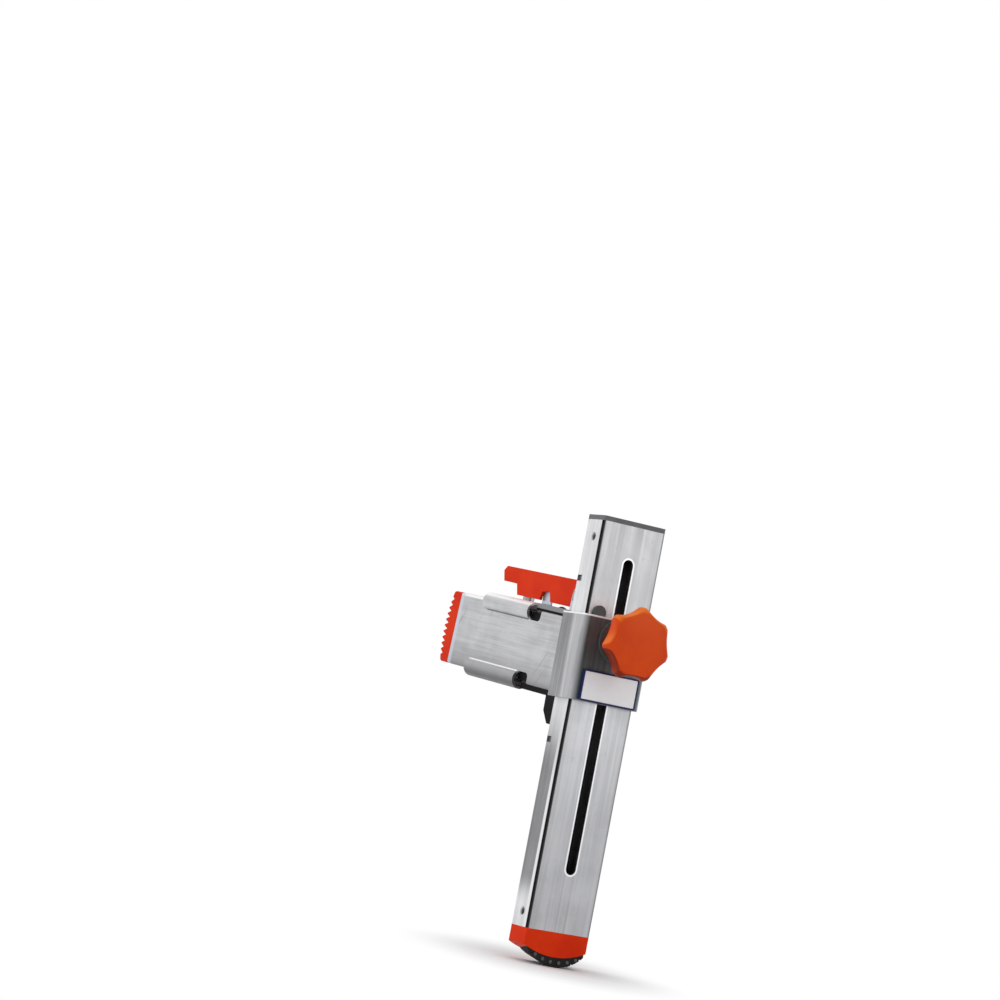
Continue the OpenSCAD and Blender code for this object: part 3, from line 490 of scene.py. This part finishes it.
def plasticFinish(name, own):
    s = {**plasticUsual, **own}
    finish, tree, shader, coords = newFinish(name)
    skin = addGrain(tree, coords, mouldedSkin, s)
    colour = mixTone(tree, skin["Tone"], s["dark"], s["light"])
    colour = mixTone(tree, times(tree, skin["Rub"], s["rubbed"]), colour, s["rub"])
    if "faded" in s:
        # painted light where it looks up, painted shade where it looks down
        tilt = split(tree, coords.outputs["Normal"])["Z"]
        for key in ("faded", "grime"):
            amount = times(tree, ramp(tree, tilt, *s[key + "At"]), s["weather"])
            colour = mixTone(tree, amount, colour, s[key])
    if "stud" in s:
        # paler where the studs stand out at the sides
        out = mathNode(tree, "ABSOLUTE", legPlace(tree, coords)[0])
        colour = mixTone(tree, ramp(tree, out, *s["studFrom"]), colour, s["stud"])
    rough = spread(tree, skin["Rub"], *s["rough"])
    values = {"Base Color": colour, "Roughness": rough, "Specular IOR Level": s["specular"]}
    dress(tree, shader, values, skin["Height"], s)
    return finish


finishes = {
    "sleeve_aluminium": metalFinish("sleeveAluminium", {
        "dark": (0.42, 0.425, 0.44), "light": (0.60, 0.605, 0.62), "scratch": (0.28, 0.28, 0.30),
        "shade": (0.045, 0.045, 0.048), "dim": (0.27, 0.272, 0.285), "edge": (0.95, 0.95, 0.95),
        "mouth": (0.58, 0.66, 0.75), "marks": 0.45,
        "Stretch": (16, 420, 420), "Cloud": 26, "Scratch": 38, "rough": (0.30, 0.46), "metallic": 0.85,
        "bump": 0.12}),
    "guide_aluminium": metalFinish("guideAluminium", {
        "dark": (0.30, 0.305, 0.32), "light": (0.66, 0.665, 0.68), "scratch": (0.22, 0.22, 0.24),
        "outer": (0.128, 0.155, 0.160), "outerDark": (0.058, 0.073, 0.077), "outerMetallic": 0.3,
        "dull": (0.20, 0.202, 0.21), "dullLight": (0.36, 0.363, 0.375), "shine": (0.46, 0.463, 0.48),
        "turned": (0.36, 0.36, 0.37), "rim": (0.85, 0.85, 0.87),
        "Turn": legTurn, "Stretch": (330, 330, 9), "Cloud": 18, "rough": (0.28, 0.42), "metallic": 0.85,
        "bump": 0.16}),
    "leg_aluminium": metalFinish("legAluminium", {
        "dark": (0.46, 0.465, 0.48), "light": (0.60, 0.605, 0.62), "scratch": (0.32, 0.32, 0.34),
        "low": (0.46, 0.463, 0.48), "lowDark": (0.32, 0.322, 0.335), "lowAt": (0.0, -0.16),
        "high": (0.47, 0.473, 0.485), "highDark": (0.38, 0.383, 0.395), "highAt": (0.02, 0.075),
        "side": (0.82, 0.823, 0.835), "sideDark": (0.62, 0.623, 0.635), "narrow": (0.6, 0.9),
        "sideLow": (0.30, 0.302, 0.315), "sideLowDark": (0.18, 0.182, 0.19),
        "sideAt": (-0.035, -0.095), "sideTo": (-0.204, -0.176),
        "rear": (0.13, 0.13, 0.135), "rearAt": (0.0268, 0.0284), "rearShare": 0.6,
        "soot": (0.028, 0.028, 0.030), "polish": (0.80, 0.80, 0.82),
        "Turn": legTurn, "Stretch": (300, 300, 7), "Cloud": 16, "Scratch": 30, "rough": (0.30, 0.46),
        "metallic": 0.85, "bump": 0.12}),
    "rivet_metal": metalFinish("rivetMetal", {
        "dark": (0.40, 0.405, 0.42), "light": (0.54, 0.545, 0.56), "scratch": (0.26, 0.26, 0.28),
        "rightDark": (0.05, 0.05, 0.053), "rightAt": (0.05, 0.35),
        "leftLight": (0.92, 0.92, 0.93), "leftAt": (-0.05, -0.35),
        "Stretch": (400, 400, 400), "rough": (0.25, 0.4), "metallic": 0.6, "bump": 0.1}),
    "weld_metal": metalFinish("weldMetal", {
        "dark": (0.58, 0.585, 0.60), "light": (0.88, 0.885, 0.89), "scratch": (0.28, 0.28, 0.29),
        "Stretch": (500, 500, 900), "rough": (0.4, 0.6), "metallic": 0.85, "bump": 0.5}),
    "steel": metalFinish("zincSteel", {
        "dark": (0.34, 0.35, 0.37), "light": (0.50, 0.51, 0.53), "scratch": (0.23, 0.23, 0.25),
        "Stretch": (300, 300, 300), "rough": (0.24, 0.38), "metallic": 0.95, "bump": 0.08}),
    "latch_zinc": metalFinish("latchZinc", {
        "dark": (0.44, 0.49, 0.55), "light": (0.56, 0.62, 0.70), "scratch": (0.30, 0.32, 0.36),
        "foot": (0.24, 0.245, 0.26), "footAt": (0.0380, 0.0370),
        "Stretch": (40, 300, 300), "rough": (0.28, 0.42), "metallic": 0.8, "bump": 0.08}),
    "washer_steel": metalFinish("washerSteel", {
        "dark": (0.060, 0.072, 0.076), "light": (0.120, 0.142, 0.147), "scratch": (0.2, 0.2, 0.21),
        "Stretch": (300, 300, 300), "rough": (0.3, 0.42), "metallic": 0.3, "bump": 0.06}),
    "dark_steel": metalFinish("oiledSteel", {
        "dark": (0.05, 0.052, 0.056), "light": (0.12, 0.123, 0.13), "scratch": (0.2, 0.2, 0.21),
        "Stretch": (300, 300, 300), "rough": (0.3, 0.42), "metallic": 0.9, "bump": 0.06}),
    "brass": metalFinish("turnedBrass", {
        "dark": (0.42, 0.27, 0.06), "light": (0.62, 0.43, 0.12), "scratch": (0.3, 0.2, 0.06),
        "Turn": legTurn, "Stretch": (900, 60, 60), "rough": (0.22, 0.35), "metallic": 0.95, "bump": 0.15}),
    "orange_plastic": plasticFinish("orangePlastic", {
        "dark": (0.68, 0.026, 0.002), "light": (0.78, 0.038, 0.004), "rub": (0.82, 0.07, 0.015),
        "rubbed": 0.2, "rough": (0.42, 0.56), "bump": 0.06, "specular": 0.06}),
    "knob_plastic": plasticFinish("knobPlastic", {
        "dark": (0.66, 0.051, 0.003), "light": (0.76, 0.073, 0.005), "rub": (0.80, 0.11, 0.02),
        "faded": (0.86, 0.19, 0.02), "fadedAt": (0.08, 0.55),
        "grime": (0.16, 0.012, 0.002), "grimeAt": (-0.08, -0.5), "weather": 0.85,
        "rubbed": 0.2, "rough": (0.34, 0.46), "bump": 0.05, "specular": 0.12}),
    "black_plastic": plasticFinish("blackPlastic", {
        "dark": (0.004, 0.004, 0.0045), "light": (0.009, 0.009, 0.01), "rub": (0.02, 0.02, 0.021),
        "rubbed": 0.4, "rough": (0.45, 0.62), "bump": 0.12, "specular": 0.05}),
    "liner_plastic": plasticFinish("linerPlastic", {
        "dark": (0.075, 0.084, 0.088), "light": (0.12, 0.134, 0.14), "rub": (0.18, 0.195, 0.20),
        "rubbed": 0.4, "rough": (0.45, 0.6), "bump": 0.1}),
    "grey_plastic": plasticFinish("greyPlastic", {
        "dark": (0.13, 0.132, 0.14), "light": (0.17, 0.172, 0.18), "rub": (0.24, 0.24, 0.25),
        "rubbed": 0.35, "rough": (0.5, 0.65), "bump": 0.1}),
    "white_plastic": plasticFinish("whitePlastic", {
        "dark": (0.93, 0.93, 0.95), "light": (0.97, 0.97, 0.98), "rub": (0.84, 0.84, 0.87),
        "rubbed": 0.2, "rough": (0.28, 0.4), "bump": 0.02}),
    "blue_plastic": plasticFinish("bluePlastic", {
        "dark": (0.012, 0.013, 0.075), "light": (0.018, 0.020, 0.11), "rub": (0.05, 0.05, 0.16),
        "rubbed": 0.3, "rough": (0.3, 0.42), "bump": 0.02}),
    "tread_rubber": plasticFinish("treadRubber", {
        "dark": (0.008, 0.008, 0.008), "light": (0.016, 0.016, 0.016), "rub": (0.05, 0.048, 0.046),
        "stud": (0.10, 0.10, 0.10), "studFrom": (0.0127, 0.0130),
        "rubbed": 0.5, "rough": (0.6, 0.8), "bump": 0.3, "Grain": 1100}),
}
# four pieces have a tone of their own within their slot
ownFinish = {"star_knob": "knob_plastic", "guide_liner": "liner_plastic", "clamp_washer": "washer_steel",
             "latch_base": "latch_zinc"}
finishOf = {n: finishes[ownFinish.get(n, slotOf[n])] for n in nodes}
for node, solid in nodes.items():
    solid.data.materials.clear()
    solid.data.materials.append(finishOf[node])
print("finishes made:", len(finishes))

# camera at the photograph's angle
camera = {"place": (2.7634, -1.5866, 0.0559), "azimuth": 60.0, "elevation": -1.1, "roll": 12.62,
          "lens": 131.04, "sensor": 36}


def addCamera(s):
    a, e, r = (math.radians(s[k]) for k in ("azimuth", "elevation", "roll"))
    back = Vector((math.sin(a) * math.cos(e), -math.cos(a) * math.cos(e), math.sin(e)))
    right = Vector((0, 0, 1)).cross(back).normalized()
    up = back.cross(right)
    right, up = right * math.cos(r) + up * math.sin(r), up * math.cos(r) - right * math.sin(r)
    bpy.ops.object.camera_add()
    cam = bpy.context.object
    cam.data.sensor_width = s["sensor"]
    cam.data.lens = s["lens"]
    cam.matrix_world = Matrix.Translation(s["place"]) @ Matrix((right, up, back)).transposed().to_4x4()
    bpy.context.scene.camera = cam


clearSelection()
addCamera(camera)
print("camera placed")

# plain copies of the construction solids, with the rounding that the real edges have
softEdges = {
    "mouth_collar": ("mouthCollar", 0.0003),
    "latch_lever": ("latchLever", 0.0008),
    "foot_shoe": ("footShoe", 0.0009),
    "foot_tread": ("footTread", 0.0003),
    "guide_pad": ("guidePad", 0.0007),
    "leg_cap": ("legCap", 0.0006),
    "name_plate": ("namePlate", 0.0003),
    "plate_frame": ("plateFrame", 0.0004),
    "latch_base": ("latchBase", 0.0004),
    "sleeve_tube": ("sleeveTube", 0.0004),
    "guide_box": ("guideBox", 0.0004),
    "leg_tube": ("legTube", 0.0004),
    "clamp_washer": ("clampWasher", 0.0004),
}
for node, (pieceName, width) in softEdges.items():
    mount(softCopy(node, pieceName, width), node)
print("edges rounded:", len(softEdges))

# star knob
knob = {"lobes": 7, "lobeSteps": 40, "tipRadius": 0.0307, "thickness": 0.0150,
        "edge": 0.0060, "edgeSteps": 12, "backEdge": 0.0075, "backSteps": 12, "dome": 0.0015, "domeSteps": 6,
        "fluteRadius": 0.0168, "frontDepth": 0.0039, "backDepth": 0.0056, "soft": 0.0064,
        "hubRadius": 0.012, "hubLength": 0.019, "hubEdge": 0.0008, "hubSunk": 0.0032, "hubSteps": 64,
        "start": 0.02035, "height": 0.0195, "bushRadius": 0.00705, "bushLength": 0.026}


def knobProfile(s):
    # radius and height from the back face over the rounded rims to the domed front
    full, top = s["tipRadius"], s["thickness"]
    steps = []
    for i in range(s["backSteps"] + 1):
        a = math.pi / 2 * i / s["backSteps"]
        steps.append((full - s["backEdge"] * (1 - math.sin(a)), s["backEdge"] * (1 - math.cos(a))))
    for i in range(s["edgeSteps"] + 1):
        a = math.pi / 2 * i / s["edgeSteps"]
        steps.append((full - s["edge"] * (1 - math.cos(a)), top - s["edge"] * (1 - math.sin(a))))
    flat = full - s["edge"]
    for i in range(1, s["domeSteps"]):
        share = 1 - i / s["domeSteps"]
        steps.append((flat * share, top + s["dome"] * (1 - share ** 2)))
    return steps


def softLeast(a, b, soft):
    # the smaller of two radii, rounded off where they meet
    share = min(1.0, max(0.0, 0.5 + 0.5 * (b - a) / soft))
    return b + (a - b) * share - soft * share * (1 - share)


def headReach(s, radius, height, angle):
    # radius of the turned head, or of the flute where that is smaller; flutes deepen towards the hub
    depth = s["backDepth"] + (s["frontDepth"] - s["backDepth"]) * min(1.0, height / s["thickness"])
    fluteAt = s["tipRadius"] - depth + s["fluteRadius"]
    turn = (angle - math.pi) % (2 * math.pi / s["lobes"]) - math.pi / s["lobes"]
    room = s["fluteRadius"] ** 2 - (fluteAt * math.sin(turn)) ** 2
    if room <= 0:
        return radius
    return softLeast(radius, fluteAt * math.cos(turn) - math.sqrt(room), s["soft"])


def addRod(steps, radius, length, middle):
    clearSelection()
    bpy.ops.mesh.primitive_cylinder_add(vertices=steps, radius=radius, depth=length, location=(0, 0, middle))
    return bpy.context.object


def makeKnob(s):
    profile = knobProfile(s)
    clearSelection()
    bpy.ops.mesh.primitive_circle_add(vertices=s["lobes"] * s["lobeSteps"], radius=1, fill_type="NGON",
                                      location=(0, 0, 0))
    piece = nameActive("starKnob")
    editAll(piece)
    heights = [height for radius, height in profile]
    for low, high in zip(heights, heights[1:]):
        bpy.ops.mesh.extrude_region_move(TRANSFORM_OT_translate={"value": (0, 0, high - low)})
    bpy.ops.mesh.select_all(action="SELECT")
    bpy.ops.mesh.normals_make_consistent(inside=False)
    endEdit()
    # each level takes its radius from the turned profile and the flutes
    for vertex in piece.data.vertices:
        radius, height = min(profile, key=lambda step: abs(step[1] - vertex.co.z))
        angle = math.atan2(vertex.co.y, vertex.co.x)
        reach = headReach(s, radius, height, angle)
        vertex.co = (reach * math.cos(angle), reach * math.sin(angle), height)
    # hub behind the head, with the seat of the threaded bush
    hub = addRod(s["hubSteps"], s["hubRadius"], s["hubLength"] + s["hubSunk"],
                 (s["hubSunk"] - s["hubLength"]) / 2)
    roundEdges(hub, s["hubEdge"])
    combine(piece, hub, "UNION")
    seat = addRod(s["hubSteps"], s["bushRadius"], s["bushLength"] * 2, -s["hubLength"])
    combine(piece, seat, "DIFFERENCE")
    settle(piece, legFrame @ Matrix.Translation((s["start"] + s["hubLength"], 0, s["height"]))
           @ Matrix.Rotation(math.radians(90), 4, "Y"))
    mount(piece, "star_knob")
    print("star knob:", len(piece.data.polygons), "faces")


makeKnob(knob)

# latch spring on the hinge pin
spring = {"hinge": (0.196, 0.050), "coil": 0.0062, "wire": 0.00055, "wireSteps": 4, "turns": 3.5,
          "startAngle": -90, "length": 0.006, "steps": 28, "foot": (0.1868, 0.0379), "leg": 0.1809}


def makeSpring(s):
    x, z = s["hinge"]
    footX, footZ = s["foot"]
    count = int(s["turns"] * s["steps"])
    path = [(footX, -s["length"] / 2, footZ)]
    for i in range(count + 1):
        a = math.radians(s["startAngle"]) + 2 * math.pi * i / s["steps"]
        along = s["length"] * (i / count - 0.5)
        path.append((x + s["coil"] * math.cos(a), along, z + s["coil"] * math.sin(a)))
    path.append((s["leg"], s["length"] / 2, z + s["coil"]))
    clearSelection()
    bpy.ops.curve.primitive_nurbs_path_add()
    line = bpy.context.object.data
    line.splines.clear()
    spline = line.splines.new("POLY")
    spline.points.add(len(path) - 1)
    for point, place in zip(spline.points, path):
        point.co = (*place, 1)
    line.dimensions = "3D"
    line.bevel_depth = s["wire"]
    line.bevel_resolution = s["wireSteps"]
    line.use_fill_caps = True
    bpy.ops.object.convert(target="MESH")
    piece = nameActive("latchSpring")
    settle(piece)
    # one leg stays on the base and the other goes up with the lever; the spring itself is baked in place
    ends = [(x, side * s["length"] / 2, z) for side in (-1, 1)]
    mount(piece, "latch_spring", winds=(bodyOf["latch_lever"], *ends))
    print("latch spring:", len(piece.data.polygons), "faces")


makeSpring(spring)

# fillet welds between sleeve and guide, with the ripples of the pass
weld = {"length": 0.054, "radius": 0.0036, "sides": 32, "ripples": 27, "rippleSteps": 6, "swell": 0.10,
        "blunt": 0.55, "face": -0.01785, "side": 0.0148}


def makeBead(s, side):
    bead = addRod(s["sides"], s["radius"], s["length"], 0)
    editEdges(bead, lambda a, b: abs(a.z - b.z) > s["length"] / 2)
    bpy.ops.mesh.subdivide(number_cuts=s["ripples"] * s["rippleSteps"] - 1)
    endEdit()
    for vertex in bead.data.vertices:
        along = (vertex.co.z / s["length"] + 0.5) * s["ripples"]
        swell = 1 + s["swell"] * (math.sqrt(1 - (2 * (along % 1) - 1) ** 2) - 1)
        tail = min(1.0, (s["length"] / 2 - abs(vertex.co.z)) / s["radius"] + s["blunt"])
        vertex.co.x *= swell * tail
        vertex.co.y *= swell * tail
    # the quarter in the corner is kept
    for plane in ((1, 0, 0), (0, -side, 0)):
        editAll(bead)
        bpy.ops.mesh.bisect(plane_co=(0, 0, 0), plane_no=plane, use_fill=True, clear_outer=True)
        endEdit()
    bead.location = (s["face"], side * s["side"], 0)
    return bead


def makeWelds(s):
    beads = [makeBead(s, side) for side in (-1, 1)]
    makeActive(beads[0])
    beads[1].select_set(True)
    bpy.ops.object.transform_apply(location=True, rotation=True, scale=True)
    bpy.ops.object.join()
    piece = nameActive("weldBeads")
    settle(piece, legFrame)
    mount(piece, "weld_beads")
    print("weld beads:", len(piece.data.polygons), "faces")


makeWelds(weld)

# floor and light
stage = {"size": 14.0, "clear": (0.03, 0.13), "tone": 0.9, "rough": 0.9, "specular": 0.1, "world": 0.5,
         "aim": (0.16, 0, -0.05)}


def seenRays(tree):
    # 1 for what the camera sees, also in a mirror or through glass
    path = addNode(tree, "ShaderNodeLightPath")
    return most(tree, *(path.outputs[f"Is {kind} Ray"] for kind in ("Camera", "Glossy", "Transmission")))


def addFloor(s):
    low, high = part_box("foot_tread")
    foot = low.lerp(high, 0.5)
    clearSelection()
    bpy.ops.mesh.primitive_plane_add(size=s["size"], location=(foot.x, foot.y, low.z))
    floor = nameActive("floor")
    finish, tree, shader, coords = newFinish("paleFloor")
    shader.inputs["Base Color"].default_value = (s["tone"], s["tone"], s["tone"], 1)
    shader.inputs["Roughness"].default_value = s["rough"]
    shader.inputs["Specular IOR Level"].default_value = s["specular"]
    # away from the foot the floor is as white as the background
    away = addNode(tree, "ShaderNodeVectorMath", {0: coords.outputs["Object"]}, operation="LENGTH")
    share = times(tree, ramp(tree, away.outputs["Value"], *s["clear"]), seenRays(tree))
    white = addNode(tree, "ShaderNodeEmission", {"Color": (1, 1, 1, 1), "Strength": 1.0})
    mixed = addNode(tree, "ShaderNodeMixShader",
                    {0: share, 1: shader.outputs["BSDF"], 2: white.outputs["Emission"]})
    out = next(n for n in tree.nodes if n.type == "OUTPUT_MATERIAL")
    tree.links.new(mixed.outputs["Shader"], out.inputs["Surface"])
    floor.data.materials.append(finish)


def addWorld(s):
    world = bpy.data.worlds.new("studio")
    bpy.context.scene.world = world
    world.use_nodes = True
    tree = world.node_tree
    tree.nodes.clear()
    strength = spread(tree, seenRays(tree), s["world"], 1.0)
    sky = addNode(tree, "ShaderNodeBackground", {"Color": (1, 1, 1, 1), "Strength": strength})
    out = tree.nodes.new("ShaderNodeOutputWorld")
    tree.links.new(sky.outputs["Background"], out.inputs["Surface"])


lamps = {
    "keyLamp": {"place": (-0.6, -2.4, 1.9), "size": 1.6, "power": 30},
    "rightLamp": {"place": (2.6, 1.4, 0.9), "size": 1.2, "power": 6.5},
    "topLamp": {"place": (0.2, 0.3, 2.4), "size": 1.8, "power": 14},
}


def addLamps(lampTable, aim):
    for name, s in lampTable.items():
        bpy.ops.object.light_add(type="AREA", location=s["place"])
        lamp = bpy.context.object
        lamp.name = name
        lamp.data.size = s["size"]
        lamp.data.energy = s["power"]
        lamp.rotation_euler = (Vector(s["place"]) - Vector(aim)).to_track_quat("Z", "Y").to_euler()


addFloor(stage)
addWorld(stage)
addLamps(lamps, stage["aim"])
bpy.context.scene.view_settings.view_transform = "Standard"
print("stage set")
